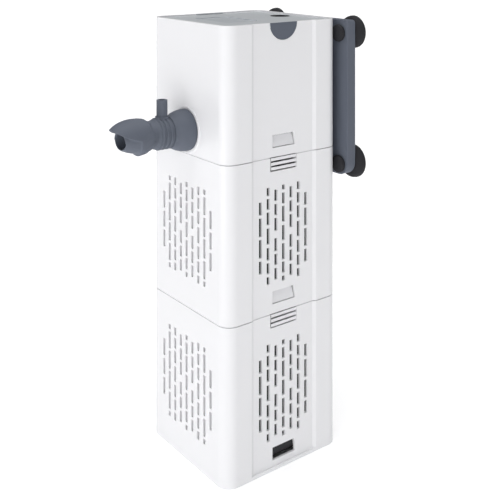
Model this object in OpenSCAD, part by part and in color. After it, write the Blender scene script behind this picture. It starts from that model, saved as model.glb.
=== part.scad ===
// Internal power filter for an aquarium: two slotted filter boxes stacked under a
// pump head, with a swivelling outlet nozzle and a suction-cup hanging bracket.
// The origin is the centre of the column's base. The outlet faces -Y, the latches
// face +X and -X, the bracket is on +Y, and +Z is up.

/* [Column] */
// Width of the column, between the two latched sides
body_w = 90; // [88:0.5:94]
// Depth of the column, from the outlet side to the bracket side
body_d = 95; // [93:0.5:99]
// Radius of the upright corners
corner_r = 9; // [8:0.5:10]
// Wall thickness of the boxes and the head
wall = 3; // [2.8:0.1:3.2]
// Height of each filter box
box_h = 101.7; // [100:0.1:106]
// Height of the pump head, top cover included
head_h = 87.5; // [86:0.5:90]
// Thickness of the top cover
cover_t = 3.5; // [3.3:0.1:3.7]
// Depth of the sunk panel on each latched side
panel_depth = 1.3; // [1:0.1:1.4]

/* [Intake slots] */
// Width of an intake slot
slot_w = 2.5; // [1.6:0.1:2.8]
// Pitch of the slot columns on the front and the back
front_pitch = 7; // [6.6:0.1:7.2]
// Pitch of the slot columns on the latched sides
side_pitch = 6.4; // [6:0.1:6.8]

/* [Outlet] */
// Height of the outlet axis above the head's lower seam
outlet_rise = 15.6; // [15:0.1:16.5]
// Radius of the outlet collar's rim
collar_r = 14; // [13:0.5:15]
// Outer radius of the air-line spigot
air_r = 3.6; // [3.2:0.1:3.8]
// Radius of the nozzle's bulge
nozzle_r = 12; // [11.5:0.1:12.5]

/* [Bracket] */
// Width of the hanging plate
plate_w = 101.4; // [98:0.2:106]
// Height of the hanging plate
plate_h = 107.2; // [104:0.2:112]
// Radius of a suction cup's rim
cup_r = 11.4; // [11:0.1:12]

/* [Travel] */
// How far a latch or a side button is pressed in
press_in = 2.4; // [2:0.1:2.4]

/* [Hidden] */

// Colours
shell_white = [0.95, 0.95, 0.97];
cover_grey = [0.80, 0.82, 0.85];
slate = [0.36, 0.39, 0.45];
sponge_black = [0.10, 0.10, 0.11];
rubber_black = [0.05, 0.05, 0.06];
core_grey = [0.55, 0.57, 0.60];
motor_dark = [0.15, 0.16, 0.18];
copper = [0.72, 0.42, 0.22];
steel = [0.70, 0.71, 0.73];
ceramic = [0.93, 0.92, 0.88];
magnet_black = [0.14, 0.13, 0.13];

// Resolution of true circles, and of rounding that is only seen
smooth = 64;
fine = 32;
eps = 0.01;

// Heights of the seams and the top
seam_low = box_h;
seam_high = 2 * box_h;
top_z = seam_high + head_h;
cover_z = top_z - cover_t;
cover_top = top_z - 0.8;
outlet_z = seam_high + outlet_rise;

// Clearances: a moulded slip fit, a running fit, and a loose gap
slip = 0.3;
running = 0.05;
loose = 0.5;

// Walls, floors and the skirt that a module lowers into the one below
half_w = body_w / 2;
half_d = body_d / 2;
inner_w = body_w - 2 * wall;
inner_d = body_d - 2 * wall;
inner_x = inner_w / 2;
floor_t = 3;
skirt_drop = 5;
skirt_t = 1.6;
panel_half = 28;
panel_ramp = 3;
panel_x = half_w - panel_depth;
base_rim = 2;

// Latches: pad at the top of a box, nose in the window of the module above
window_half = 9.3;
window_z0 = 6;
window_z1 = 14.4;
pad_half = 10.7;
pad_h = 9;
arm_t = 2;
arm_x = inner_x - loose - arm_t - 0.1;
arm_room_x = arm_x - press_in - 0.6;
arm_room_half = 12.2;
root_drop = 15;

// Core tubes
core_r = 13;
core_wall = 1.8;
core_collar_t = 2.6;
core_collar_h = 6;

// Slot columns: centre offset from the pattern's middle and slot height. Each
// entry off the middle is repeated below it.
column_a = [[0, 10], [12.3, 10.6], [22.7, 7.4], [29.9, 3.3]];
column_b = [[6.6, 8.5], [16.3, 7.4], [25.6, 7.5]];
column_c = [[0, 10.4], [11.5, 8.2], [20.8, 7.1], [28.9, 5.2]];
column_d = [[6.9, 12.4], [20.65, 11.6], [29.65, 3.3]];
column_e = [[0, 10.9], [13.4, 11.5]];
column_f = [[6.9, 12], [19, 8.4]];
front_columns = [column_a, column_b, column_c, column_d, column_e];
side_columns = [column_a, column_b, column_c, column_f];

// Pump
chamber_r = 25;
chamber_bore = 21.5;
chamber_z0 = seam_high + 6.4;
chamber_top = seam_high + 26.8;
eye_r = 8;
duct_r = 9;
duct_bore = 7;
shaft_r = 1.5;
well_bore = 10.6;
well_r = 12.2;
motor_z0 = chamber_top + 0.2;
motor_h = 33.5;
motor_half_w = 29;
motor_y0 = -16;
motor_y1 = 42;
motor_lid_t = 2.5;
well_top = motor_z0 + 29.5;
screw_x = 32.5;
screw_ys = [-12, 36];
screw_boss_r = 3.8;
screw_r = 1.6;
screw_ear_t = 3;

// Side buttons, centred on the head's top edge
button_z = top_z;
button_r = 11.7;
button_face_r = button_r - 0.25;
button_flange_r = 13;
button_back_x = inner_x - 0.8;
button_x = panel_x + 0.2;
spring_z = top_z - 7.5;
spring_r = 2.6;
spring_wire = 0.35;
spring_turns = 6;
spring_seat_x = motor_half_w + 1.5;

// Outlet: distances run outward from the front face
collar_t = 14.4;
collar_bore = 9;
barrel_end = 30.3;
ring_start = 16.2;
ring_pitch = 3;
ring_count = 3;
ring_r = 10.5;
neck_r = 9.1;
barrel_bore = 6.2;
tail_r = collar_bore - running;
nose_r = 7.6;
air_at = 19;
air_top = 21.8;
nozzle_start = barrel_end + 0.3;
nozzle_mid = 41;
nozzle_tip = 18.4;
mouth_z = -1.4;

// Bracket
plate_y = half_d + 3.5;
plate_t = 7.5;
plate_top = top_z - 1.4;
plate_z0 = plate_top - plate_h;
rail_x = 20;
rail_z0 = seam_high + 12;
rail_h = 62;
rail_neck = 6;
rail_head = 11;
cup_x = 42.8;
cup_inset = 9.1;
cup_y = plate_y + plate_t;
cup_depth = 7;

// ---------------------------------------------------------------- shared shapes

module rounded_rect(w, d, r) {
    square([w - 2 * r, d], center = true);
    square([w, d - 2 * r], center = true);
    for (x = [-1, 1], y = [-1, 1])
        translate([x * (w / 2 - r), y * (d / 2 - r)])
            circle(r, $fn = smooth);
}

// A centred block that stands on z0
module block(w, d, z0, h) {
    translate([-w / 2, -d / 2, z0])
        cube([w, d, h]);
}

// A block given by its two corners
module span(low, high) {
    translate(low)
        cube(high - low);
}

// A child made for the +X side, drawn on the -X side
module left_side() {
    mirror([1, 0, 0])
        children();
}

// Draws its child on the +X side and on the -X side
module both_sides() {
    children();
    left_side()
        children();
}

// A child whose axis is +Z, laid along -Y from the front face at the outlet's height
module along_outlet(distance = 0) {
    translate([0, -half_d - distance, outlet_z])
        rotate([90, 0, 0])
            children();
}

// Plan of the column with the sunk panel on both latched sides
module panelled_plan() {
    difference() {
        rounded_rect(body_w, body_d, corner_r);
        for (side = [-1, 1])
            polygon([
                [side * (half_w + 1), -panel_half - 1],
                [side * panel_x, -panel_half + panel_ramp],
                [side * panel_x, panel_half - panel_ramp],
                [side * (half_w + 1), panel_half + 1]
            ]);
    }
}

module plain_plan() {
    rounded_rect(body_w, body_d, corner_r);
}

module cavity_plan(gap = 0) {
    rounded_rect(inner_w - 2 * gap, inner_d - 2 * gap, corner_r - wall - gap);
}

// One column of slots that run right through the box along Y
module slot_column(entries, x, mid_z) {
    for (entry = entries, way = entry[0] == 0 ? [1] : [-1, 1])
        translate([x, 0, mid_z + way * entry[0]])
            cube([slot_w, body_d + 2, entry[1]], center = true);
}

module slot_field(columns, pitch, mid_z) {
    for (i = [0 : len(columns) - 1], side = i == 0 ? [1] : [-1, 1])
        slot_column(columns[i], side * i * pitch, mid_z);
}

// All the intake slots of one box
module box_slots(z0) {
    slot_field(front_columns, front_pitch, z0 + box_h / 2);
    rotate([0, 0, 90])
        slot_field(side_columns, side_pitch, z0 + box_h / 2);
}

// Latch windows at the foot of a module, with a slanted reveal
module latch_windows(z0) {
    both_sides()
        translate([inner_x - 0.5, 0, z0])
            rotate([90, 0, 90])
                linear_extrude(wall + 2)
                    polygon([
                        [-window_half, window_z0],
                        [window_half + 0.4, window_z0],
                        [window_half - 0.4, window_z1],
                        [-window_half, window_z1]
                    ]);
}

// Room for the latch pads in the top edge of a box
module pad_notches(seam) {
    both_sides()
        span([inner_x - 1, -pad_half - 0.4, seam - pad_h - 0.4],
             [half_w + 1, pad_half + 0.4, seam + 1]);
}

// Room for the latch arms through a module's floor and skirt
module arm_notches(seam) {
    both_sides()
        span([arm_room_x, -arm_room_half, seam - skirt_drop - 1],
             [inner_x, arm_room_half, seam + floor_t + 1]);
}

// Skirt, floor and core collar that a module lowers into the one below
module module_foot(seam) {
    difference() {
        union() {
            translate([0, 0, seam - skirt_drop])
                linear_extrude(skirt_drop + eps)
                    difference() {
                        cavity_plan(slip);
                        cavity_plan(slip + skirt_t);
                    }
            translate([0, 0, seam])
                linear_extrude(floor_t)
                    cavity_plan(-wall / 2);
            translate([0, 0, seam - core_collar_h])
                cylinder(r = core_r + slip + core_collar_t, h = core_collar_h + floor_t, $fn = smooth);
        }
        arm_notches(seam);
        translate([0, 0, seam - core_collar_h - 1])
            cylinder(r = core_r + slip, h = core_collar_h + 0.5, $fn = smooth);
        translate([0, 0, seam - core_collar_h - 1])
            cylinder(r = core_r - core_wall, h = core_collar_h + floor_t + 2, $fn = smooth);
    }
}

// Shadow line round the top edge of a box
module seam_line(seam) {
    translate([0, 0, seam - 0.6])
        linear_extrude(2)
            difference() {
                square([2 * body_w, 2 * body_d], center = true);
                rounded_rect(body_w - 2 * panel_depth - 1.4, body_d - 1.4, corner_r - 0.7);
            }
}

// ---------------------------------------------------------------- filter boxes

module box_walls(z0) {
    difference() {
        union() {
            translate([0, 0, z0])
                linear_extrude(base_rim)
                    plain_plan();
            translate([0, 0, z0 + base_rim - eps])
                linear_extrude(box_h - base_rim + eps)
                    panelled_plan();
        }
        translate([0, 0, z0 + floor_t])
            linear_extrude(box_h)
                cavity_plan();
    }
}

module core_collar(z0) {
    translate([0, 0, z0])
        difference() {
            cylinder(r = core_r + slip + core_collar_t, h = core_collar_h, $fn = smooth);
            translate([0, 0, -1])
                cylinder(r = core_r + slip, h = core_collar_h + 2, $fn = smooth);
        }
}

module lower_shell() {
    color(shell_white) {
        difference() {
            box_walls(0);
            box_slots(0);
            latch_windows(0);
            pad_notches(seam_low);
            seam_line(seam_low);
        }
        core_collar(floor_t - eps);
    }
}

module upper_shell() {
    color(shell_white)
        difference() {
            union() {
                difference() {
                    translate([0, 0, seam_low])
                        linear_extrude(box_h)
                            panelled_plan();
                    translate([0, 0, seam_low - 1])
                        linear_extrude(box_h + 2)
                            cavity_plan();
                }
                module_foot(seam_low);
                core_collar(seam_low + floor_t - eps);
            }
            box_slots(seam_low);
            latch_windows(seam_low);
            pad_notches(seam_high);
            seam_line(seam_high);
        }
}

// Sponge block with a hole for the core tube and room for the latches
module sponge_block(z0, z1, latch_below) {
    color(sponge_black)
        difference() {
            translate([0, 0, z0])
                linear_extrude(z1 - z0)
                    difference() {
                        cavity_plan(slip);
                        circle(core_r + core_collar_t + loose + slip, $fn = smooth);
                    }
            both_sides()
                span([arm_room_x - 0.3, -arm_room_half - 1, z1 - root_drop + skirt_drop],
                     [half_w, arm_room_half + 1, z1 + 1]);
            if (latch_below)
                both_sides()
                    span([arm_room_x - 0.3, -arm_room_half - 1, z0 - 1],
                         [half_w, arm_room_half + 1, z0 + window_z1 + 0.6]);
        }
}

module lower_sponge() {
    sponge_block(floor_t + slip, seam_low - core_collar_h - loose, false);
}

module upper_sponge() {
    sponge_block(seam_low + floor_t + slip, seam_high - core_collar_h - loose, true);
}

// Perforated draw tube up the middle of a sponge
module core_tube(z0, z1) {
    rows = 7;
    pitch = (z1 - z0 - 20) / rows;
    color(core_grey)
        difference() {
            translate([0, 0, z0])
                cylinder(r = core_r, h = z1 - z0, $fn = smooth);
            translate([0, 0, z0 - 1])
                cylinder(r = core_r - core_wall, h = z1 - z0 + 2, $fn = smooth);
            for (row = [0 : rows - 1], turn = [0 : 3])
                rotate([0, 0, turn * 45])
                    translate([0, 0, z0 + 12 + (row + 0.5) * pitch])
                        cube([4, 2 * core_r + 2, pitch - 3], center = true);
        }
}

module lower_core_tube() {
    core_tube(floor_t + 0.2, seam_low - 0.8);
}

module upper_core_tube() {
    core_tube(seam_low + floor_t + 0.2, seam_high - 0.8);
}

// Snap latch on the +X side of the seam: ribbed pad, springy arm and nose
module latch(seam) {
    rib_h = 1.9;
    rib_pitch = 3;
    color(shell_white)
        translate([0, 0, seam]) {
            // ribs across the pad, open between them, on two posts
            for (side = [-1, 1])
                span([arm_x, side > 0 ? pad_half - 2 : -pad_half, -pad_h],
                     [arm_x + arm_t + 1.1, side > 0 ? pad_half : -pad_half + 2, -0.5]);
            for (i = [0 : 2])
                span([arm_x, -pad_half, -0.5 - rib_h - i * rib_pitch],
                     [panel_x + 0.3, pad_half, -0.5 - i * rib_pitch]);
            span([arm_x, -pad_half, -root_drop], [arm_x + arm_t, pad_half, -pad_h + eps]);
            span([arm_x, -window_half + 0.5, -1], [arm_x + arm_t, window_half - 0.5, window_z1 + 0.2]);
            translate([0, window_half - 0.5, 0])
                rotate([90, 0, 0])
                    linear_extrude(2 * window_half - 1)
                        polygon([
                            [arm_x + arm_t - eps, window_z0 + 0.4],
                            [panel_x - 0.5, window_z0 + 0.4],
                            [arm_x + arm_t + 0.1, window_z1 - 0.2],
                            [arm_x + arm_t - eps, window_z1 - 0.2]
                        ]);
        }
}

module lower_latch_right() {
    latch(seam_low);
}

module lower_latch_left() {
    left_side()
        latch(seam_low);
}

module upper_latch_right() {
    latch(seam_high);
}

module upper_latch_left() {
    left_side()
        latch(seam_high);
}

// ---------------------------------------------------------------- pump head

// T-shaped rails on the back of the head that the hanging plate slides on
module head_rails() {
    for (side = [-1, 1])
        translate([side * rail_x, half_d - eps, rail_z0]) {
            block(rail_neck, 2 * (plate_y - half_d + 2.3), 0, rail_h);
            translate([-rail_head / 2, plate_y - half_d + 2.3, 0])
                cube([rail_head, 2.4, rail_h]);
        }
}

// The rails without the part of them that would stand inside the head
module outer_rails() {
    intersection() {
        head_rails();
        span([-half_w, half_d - eps, 0], [half_w, plate_y + plate_t, top_z]);
    }
}

module screw_places() {
    for (x = [-screw_x, screw_x], y = screw_ys)
        translate([x, y, 0])
            children();
}

module head_casing() {
    boss_h = motor_z0 - seam_high - floor_t;
    color(shell_white)
        difference() {
            union() {
                difference() {
                    translate([0, 0, seam_high])
                        linear_extrude(head_h)
                            panelled_plan();
                    translate([0, 0, seam_high - 1])
                        linear_extrude(head_h + 2)
                            cavity_plan();
                }
                // ledges that carry the cover's skirt
                for (side = [-1, 1])
                    span([-25, side > 0 ? inner_d / 2 - 1.4 : -inner_d / 2 - eps, 277],
                         [25, side > 0 ? inner_d / 2 + eps : -inner_d / 2 + 1.4, cover_z - 6.02]);
                module_foot(seam_high);
                screw_places()
                    translate([0, 0, seam_high + floor_t - eps])
                        cylinder(r = screw_boss_r, h = boss_h + eps, $fn = fine);
                outer_rails();
                along_outlet(-eps)
                    difference() {
                        cylinder(r = collar_r + 1.6, h = 0.5, $fn = smooth);
                        translate([0, 0, -1])
                            cylinder(r = collar_r + 0.7, h = 3, $fn = smooth);
                    }
            }
            latch_windows(seam_high);
            translate([0, 0, seam_high + 1.2])
                cylinder(r = 15, h = floor_t, $fn = smooth);
            screw_places()
                translate([0, 0, motor_z0 - 15])
                    cylinder(r = screw_r + running, h = 16, $fn = fine);
            along_outlet(-wall - 1)
                cylinder(r = 11, h = wall + 2, $fn = smooth);
            translate([-half_w - 1, 0, button_z])
                rotate([0, 90, 0])
                    cylinder(r = button_r, h = body_w + 2, $fn = smooth);
        }
}

module intake_strainer() {
    hole_pitch = 4.4;
    color(core_grey)
        translate([0, 0, seam_high + 1.4])
            difference() {
                cylinder(r = 14.7, h = 1.6, $fn = smooth);
                for (i = [-2 : 2], j = [-2 : 2])
                    if (abs(i) + abs(j) < 4)
                        translate([i * hole_pitch, j * hole_pitch, -1])
                            cylinder(r = 1.5, h = 4, $fn = 24);
            }
}

module intake_cover() {
    spoke_count = 3;
    color(slate)
        translate([0, 0, seam_high + floor_t + 0.2])
            difference() {
                union() {
                    difference() {
                        cylinder(r = chamber_r, h = 3, $fn = smooth);
                        translate([0, 0, -1])
                            cylinder(r = eye_r, h = 5, $fn = smooth);
                    }
                    cylinder(r = 3.4, h = 3, $fn = fine);
                    for (i = [0 : spoke_count - 1])
                        rotate([0, 0, i * 360 / spoke_count + 30])
                            span([2, -0.8, 0], [eye_r + 1, 0.8, 3]);
                }
                translate([0, 0, 0.8])
                    cylinder(r = 2.4, h = 4, $fn = fine);
            }
}

module pump_chamber() {
    color(slate)
        difference() {
            union() {
                translate([0, 0, chamber_z0])
                    cylinder(r = chamber_r, h = chamber_top - chamber_z0, $fn = smooth);
                translate([0, -15, outlet_z])
                    rotate([90, 0, 0])
                        cylinder(r = duct_r, h = half_d - 1.2 - 15, $fn = smooth);
            }
            translate([0, 0, chamber_z0 - 1])
                cylinder(r = chamber_bore, h = chamber_top - chamber_z0 - 2, $fn = smooth);
            translate([0, 0, chamber_z0])
                cylinder(r = well_bore, h = 40, $fn = smooth);
            translate([0, -10, outlet_z])
                rotate([90, 0, 0])
                    cylinder(r = duct_bore, h = half_d, $fn = smooth);
            translate([0, 0, chamber_top - 1.8])
                difference() {
                    cylinder(r = 20.2, h = 3, $fn = smooth);
                    translate([0, 0, -1])
                        cylinder(r = 17.8, h = 5, $fn = smooth);
                }
        }
}

module ring_seal(radius, thick) {
    rotate_extrude($fn = smooth)
        translate([radius, 0])
            circle(thick, $fn = 24);
}

module chamber_seal() {
    color(rubber_black)
        translate([0, 0, chamber_top - 0.95])
            ring_seal(19, 0.85);
}

module motor_plan(gap) {
    translate([0, (motor_y0 + motor_y1) / 2])
        rounded_rect(2 * motor_half_w - 2 * gap, motor_y1 - motor_y0 - 2 * gap, 5 - gap);
}

module motor_housing() {
    color(motor_dark)
        difference() {
            union() {
                difference() {
                    translate([0, 0, motor_z0])
                        linear_extrude(motor_h)
                            motor_plan(0);
                    translate([0, 0, motor_z0 + 2])
                        linear_extrude(motor_h)
                            motor_plan(2);
                }
                translate([0, 0, motor_z0])
                    cylinder(r = well_r, h = well_top - motor_z0 + 1.5, $fn = smooth);
                screw_places()
                    translate([0, 0, motor_z0]) {
                        cylinder(r = screw_boss_r, h = screw_ear_t, $fn = fine);
                    }
                for (x = [-1, 1], y = screw_ys)
                    span([min(x * screw_x, x * (motor_half_w - 1)), y - screw_boss_r, motor_z0],
                         [max(x * screw_x, x * (motor_half_w - 1)), y + screw_boss_r,
                          motor_z0 + screw_ear_t]);
            }
            translate([0, 0, motor_z0 - 1])
                cylinder(r = well_bore, h = well_top - motor_z0 + 1, $fn = smooth);
            screw_places()
                translate([0, 0, motor_z0 - 1])
                    cylinder(r = screw_r + 0.2, h = screw_ear_t + 2, $fn = fine);
        }
}

// Lid of the motor housing, with a post each side that a button's spring bears on
module motor_lid() {
    lid_z = motor_z0 + motor_h + 0.1;
    color(motor_dark) {
        translate([0, 0, lid_z])
            linear_extrude(motor_lid_t)
                motor_plan(0);
        both_sides()
            span([spring_seat_x - 3, -4, lid_z], [spring_seat_x, 4, cover_z - 0.8]);
    }
}

// Laminated U-shaped core: two legs past the rotor well and a yoke behind it
leg_in = well_r + 0.4;
leg_w = 8;
leg_z0 = motor_z0 + 6;
leg_h = 16;
yoke_y = 31;

module stator_core() {
    color(steel)
        union() {
            for (side = [-1, 1])
                span([min(side * leg_in, side * (leg_in + leg_w)), -10, leg_z0],
                     [max(side * leg_in, side * (leg_in + leg_w)), yoke_y + leg_w, leg_z0 + leg_h]);
            span([-leg_in - leg_w, yoke_y, leg_z0], [leg_in + leg_w, yoke_y + leg_w, leg_z0 + leg_h]);
        }
}

module stator_coils() {
    coil_y0 = 14;
    coil_y1 = yoke_y - 0.5;
    color(copper)
        for (side = [-1, 1])
            translate([side * (leg_in + leg_w / 2), coil_y0, leg_z0 + leg_h / 2])
                rotate([-90, 0, 0])
                    linear_extrude(coil_y1 - coil_y0)
                        difference() {
                            rounded_rect(leg_w + 7.4, leg_h + 6.4, 3);
                            square([leg_w + 0.3, leg_h + 0.3], center = true);
                        }
}

module motor_screws() {
    color(steel)
        screw_places()
            translate([0, 0, motor_z0 + screw_ear_t])
                difference() {
                    union() {
                        translate([0, 0, eps])
                            cylinder(r = 3.1, h = 2.4, $fn = fine);
                        translate([0, 0, -screw_ear_t - 12])
                            cylinder(r = screw_r, h = screw_ear_t + 12.5, $fn = fine);
                    }
                    translate([0, 0, 1.4]) {
                        cube([3.6, 0.7, 3], center = true);
                        cube([0.7, 3.6, 3], center = true);
                    }
                }
}

module shaft_mount_bottom() {
    color(rubber_black)
        translate([0, 0, seam_high + floor_t + 1.05])
            difference() {
                cylinder(r = 2.35, h = 2.6, $fn = fine);
                translate([0, 0, 0.8])
                    cylinder(r = shaft_r, h = 4, $fn = fine);
            }
}

module shaft_mount_top() {
    color(rubber_black)
        translate([0, 0, well_top - 3.2])
            difference() {
                cylinder(r = well_bore - 0.1, h = 3.1, $fn = smooth);
                translate([0, 0, -1])
                    cylinder(r = shaft_r, h = 3, $fn = fine);
                translate([0, 0, -1])
                    difference() {
                        cylinder(r = 8.6, h = 2.6, $fn = fine);
                        cylinder(r = 3.6, h = 2.6, $fn = fine);
                    }
            }
}

module rotor_shaft() {
    color(ceramic)
        translate([0, 0, seam_high + floor_t + 1.9])
            cylinder(r = shaft_r, h = well_top - 1.3 - (seam_high + floor_t + 1.9), $fn = fine);
}

rotor_z0 = motor_z0 + 3;

module rotor_magnet() {
    color(magnet_black)
        translate([0, 0, rotor_z0])
            difference() {
                cylinder(r = well_bore - 0.9, h = 21, $fn = smooth);
                translate([0, 0, -1])
                    cylinder(r = shaft_r + running, h = 24, $fn = fine);
            }
}

module impeller() {
    blade_count = 6;
    blade_reach = 15;
    z0 = seam_high + floor_t + 5;
    color("white")
        difference() {
            union() {
                translate([0, 0, z0])
                    cylinder(r = 4.2, h = rotor_z0 - z0 - 0.1, $fn = fine);
                translate([0, 0, chamber_top - 5])
                    cylinder(r = 9.4, h = 1.2, $fn = smooth);
                for (i = [0 : blade_count - 1])
                    rotate([0, 0, i * 360 / blade_count])
                        span([3.5, -0.7, z0 + 1], [blade_reach, 0.7, chamber_top - 4.6]);
                translate([0, 0, rotor_z0 - 1.4])
                    cylinder(r = 8.4, h = 1.3, $fn = smooth);
            }
            translate([0, 0, z0 - 1])
                cylinder(r = shaft_r + running, h = 40, $fn = fine);
        }
}

// ---------------------------------------------------------------- top cover

gland_y = 32.5;
gland_r = 7;
inset_w = 41;
inset_y0 = -28.5;
inset_y1 = -1;
inset_depth = 1.5;

module inset_plan(gap) {
    translate([0, (inset_y0 + inset_y1) / 2])
        rounded_rect(inset_w - 2 * gap, inset_y1 - inset_y0 - 2 * gap, 4 - gap);
}

catch_z = top_z - 7;
catch_y0 = button_flange_r;
catch_y1 = 15.6;

module top_cover() {
    skirt_h = 6;
    color(cover_grey)
        difference() {
            union() {
                translate([0, 0, cover_z])
                    linear_extrude(cover_top - cover_z)
                        cavity_plan(slip);
                translate([0, 0, cover_z - skirt_h])
                    linear_extrude(skirt_h + eps)
                        difference() {
                            cavity_plan(slip);
                            cavity_plan(slip + skirt_t);
                        }
                translate([0, gland_y, cover_z - 6])
                    cylinder(r = gland_r + 1.8, h = 6 + eps, $fn = smooth);
            }
            // room for the buttons
            both_sides()
                translate([button_back_x - press_in - 0.3, 0, button_z])
                    rotate([0, 90, 0])
                        cylinder(r = button_r, h = half_w, $fn = smooth);
            both_sides()
                span([arm_x - press_in - 0.6, -button_flange_r - 0.3, cover_z - skirt_h - 1],
                     [inner_x - eps, button_flange_r + 0.3, cover_z - eps]);
            // the catches of the buttons reach over what is left of the skirt here
            both_sides()
                span([arm_x - press_in - 0.6, -catch_y1 - 0.4, catch_z - 0.3],
                     [inner_x - eps, catch_y1 + 0.4, cover_z - eps]);
            translate([0, 0, cover_top - inset_depth])
                linear_extrude(cover_t)
                    inset_plan(0);
            translate([0, gland_y, cover_z - 7])
                cylinder(r = 6.1, h = 20, $fn = smooth);
            translate([0, gland_y, top_z - 2.4])
                cylinder(r = gland_r + 0.15, h = 5, $fn = smooth);
        }
}

module cover_inset() {
    color(cover_grey)
        translate([0, 0, cover_top - inset_depth + 0.02])
            linear_extrude(0.9)
                inset_plan(0.3);
}

module cable_gland() {
    color(rubber_black)
        translate([0, gland_y, 0])
            difference() {
                union() {
                    translate([0, 0, top_z - 2.38])
                        cylinder(r = gland_r, h = 1.8, $fn = smooth);
                    translate([0, 0, cover_z - 7.5])
                        cylinder(r = 6, h = 9, $fn = smooth);
                }
                translate([0, 0, cover_z - 8])
                    cylinder(r = 3.25, h = 14, $fn = smooth);
            }
}

// Half-round side button: face in the casing's notch, flange and catches behind it
module side_button() {
    flange_x1 = inner_x - slip;
    flange_x0 = flange_x1 - 2;
    color(slate) {
        intersection() {
            translate([flange_x0, 0, button_z])
                rotate([0, 90, 0])
                    cylinder(r = button_face_r, h = button_x - flange_x0, $fn = smooth);
            union() {
                span([0, -half_w, 0], [half_w + 1, half_w, cover_z - 0.3]);
                span([button_back_x, -half_w, 0], [half_w + 1, half_w, top_z - 0.05]);
            }
        }
        intersection() {
            translate([flange_x0, 0, button_z])
                rotate([0, 90, 0])
                    cylinder(r = button_flange_r, h = 2, $fn = smooth);
            span([0, -half_w, 0], [half_w + 1, half_w, cover_z - 0.3]);
        }
        for (side = [-1, 1])
            span([flange_x0, side > 0 ? button_flange_r - 2 : -catch_y1, catch_z],
                 [flange_x1, side > 0 ? catch_y1 : -button_flange_r + 2, catch_z + 1.8]);
        translate([flange_x0 - 1.2, 0, spring_z])
            rotate([0, 90, 0])
                cylinder(r = spring_r - 2 * spring_wire - 0.2, h = 1.3, $fn = fine);
    }
}

module side_button_right() {
    side_button();
}

module side_button_left() {
    left_side()
        side_button();
}

// Points of the button spring's wire, and the sections swept along it
spring_steps = 16;
spring_sides = 8;
spring_x0 = spring_seat_x + spring_wire + 0.05;
spring_x1 = inner_x - slip - 2 - spring_wire - 0.05;
spring_rings = spring_turns * spring_steps;
function spring_point(i, spoke) =
    let (turn = i * 360 / spring_steps,
         reach = spring_r - spring_wire + spring_wire * cos(spoke))
    [spring_x0 + (spring_x1 - spring_x0) * i / spring_rings + spring_wire * sin(spoke),
     reach * cos(turn),
     spring_z + reach * sin(turn)];

module button_spring() {
    points = [for (i = [0 : spring_rings], k = [0 : spring_sides - 1])
        spring_point(i, k * 360 / spring_sides)];
    sides = [for (i = [0 : spring_rings - 1], k = [0 : spring_sides - 1])
        let (a = i * spring_sides + k, b = i * spring_sides + (k + 1) % spring_sides)
        [a, b, b + spring_sides, a + spring_sides]];
    start = [for (k = [spring_sides - 1 : -1 : 0]) k];
    finish = [for (k = [0 : spring_sides - 1]) spring_rings * spring_sides + k];
    color(steel)
        polyhedron(points = points, faces = concat(sides, [start, finish]));
}

module button_spring_right() {
    button_spring();
}

module button_spring_left() {
    left_side()
        button_spring();
}

// ---------------------------------------------------------------- outlet

module outlet_collar() {
    color(slate)
        along_outlet()
            difference() {
                union() {
                    rotate_extrude($fn = smooth)
                        polygon([
                            [0, 0.05], [collar_r - 0.6, 0.05], [collar_r - 0.25, 0.6],
                            [collar_r - 0.2, 2.2], [collar_r - 0.35, 3.7], [13.45, 5.2],
                            [13.2, 6.6], [12.85, 8], [12.4, 9.3], [11.85, 10.5], [11.3, 11.5],
                            [10.85, 12.4], [10.6, 13.3], [10.5, collar_t - 0.4],
                            [10.2, collar_t], [0, collar_t]
                        ]);
                    translate([0, 0, -wall - 0.8])
                        cylinder(r = 10.9, h = wall + 1, $fn = smooth);
                }
                translate([0, 0, 2])
                    cylinder(r = collar_bore, h = collar_t, $fn = smooth);
                translate([0, 0, -wall - 2])
                    cylinder(r = barrel_bore, h = collar_t + wall + 4, $fn = smooth);
                translate([0, 0, -wall - 2])
                    cylinder(r = duct_r + 0.2, h = wall + 0.8, $fn = smooth);
            }
}

module outlet_seal() {
    color(rubber_black)
        along_outlet(-wall - 1.85)
            ring_seal(duct_r + 1.15, 0.9);
}

// Profile of the barrel outside the collar, with its raised rings
ring_end = ring_start + ring_count * ring_pitch;
barrel_profile = concat(
    [[0, collar_t + 0.15], [9.8, collar_t + 0.15]],
    [for (i = [0 : ring_count - 1], p = [[9.8, 0], [ring_r - 0.25, 0.1], [ring_r, 0.45],
                                        [ring_r, 1.25], [ring_r - 0.25, 1.6], [9.8, 1.7]])
        [p[0], ring_start + i * ring_pitch + p[1]]],
    [[9.8, ring_end - 0.2], [9.5, ring_end + 0.6], [neck_r, ring_end + 1.6],
     [neck_r, barrel_end], [0, barrel_end]]);

module outlet_barrel() {
    color(slate)
        along_outlet()
            difference() {
                union() {
                    rotate_extrude($fn = smooth)
                        polygon(barrel_profile);
                    translate([0, 0, 2.2])
                        cylinder(r = tail_r, h = collar_t, $fn = smooth);
                    translate([0, 0, barrel_end - 1])
                        cylinder(r = nose_r, h = 8, $fn = smooth);
                    translate([0, 0, air_at])
                        rotate([-90, 0, 0]) {
                            cylinder(r = air_r, h = air_top, $fn = smooth);
                            cylinder(r = air_r + 0.8, h = ring_r + 0.7, $fn = smooth);
                        }
                }
                translate([0, 0, 1])
                    cylinder(r = barrel_bore, h = 50, $fn = smooth);
                translate([0, 0, air_at])
                    rotate([-90, 0, 0])
                        cylinder(r = 2.3, h = air_top + 1, $fn = fine);
            }
}

// Outline of the nozzle's bulge: a quarter ellipse ahead of its widest place
bulge_steps = 12;
function bulge_r(a) = nozzle_r * sqrt(max(0, 1 - pow((a - nozzle_mid) / nozzle_tip, 2)));
hood_end = nozzle_mid + 15.2;
lip_end = 50;

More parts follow.
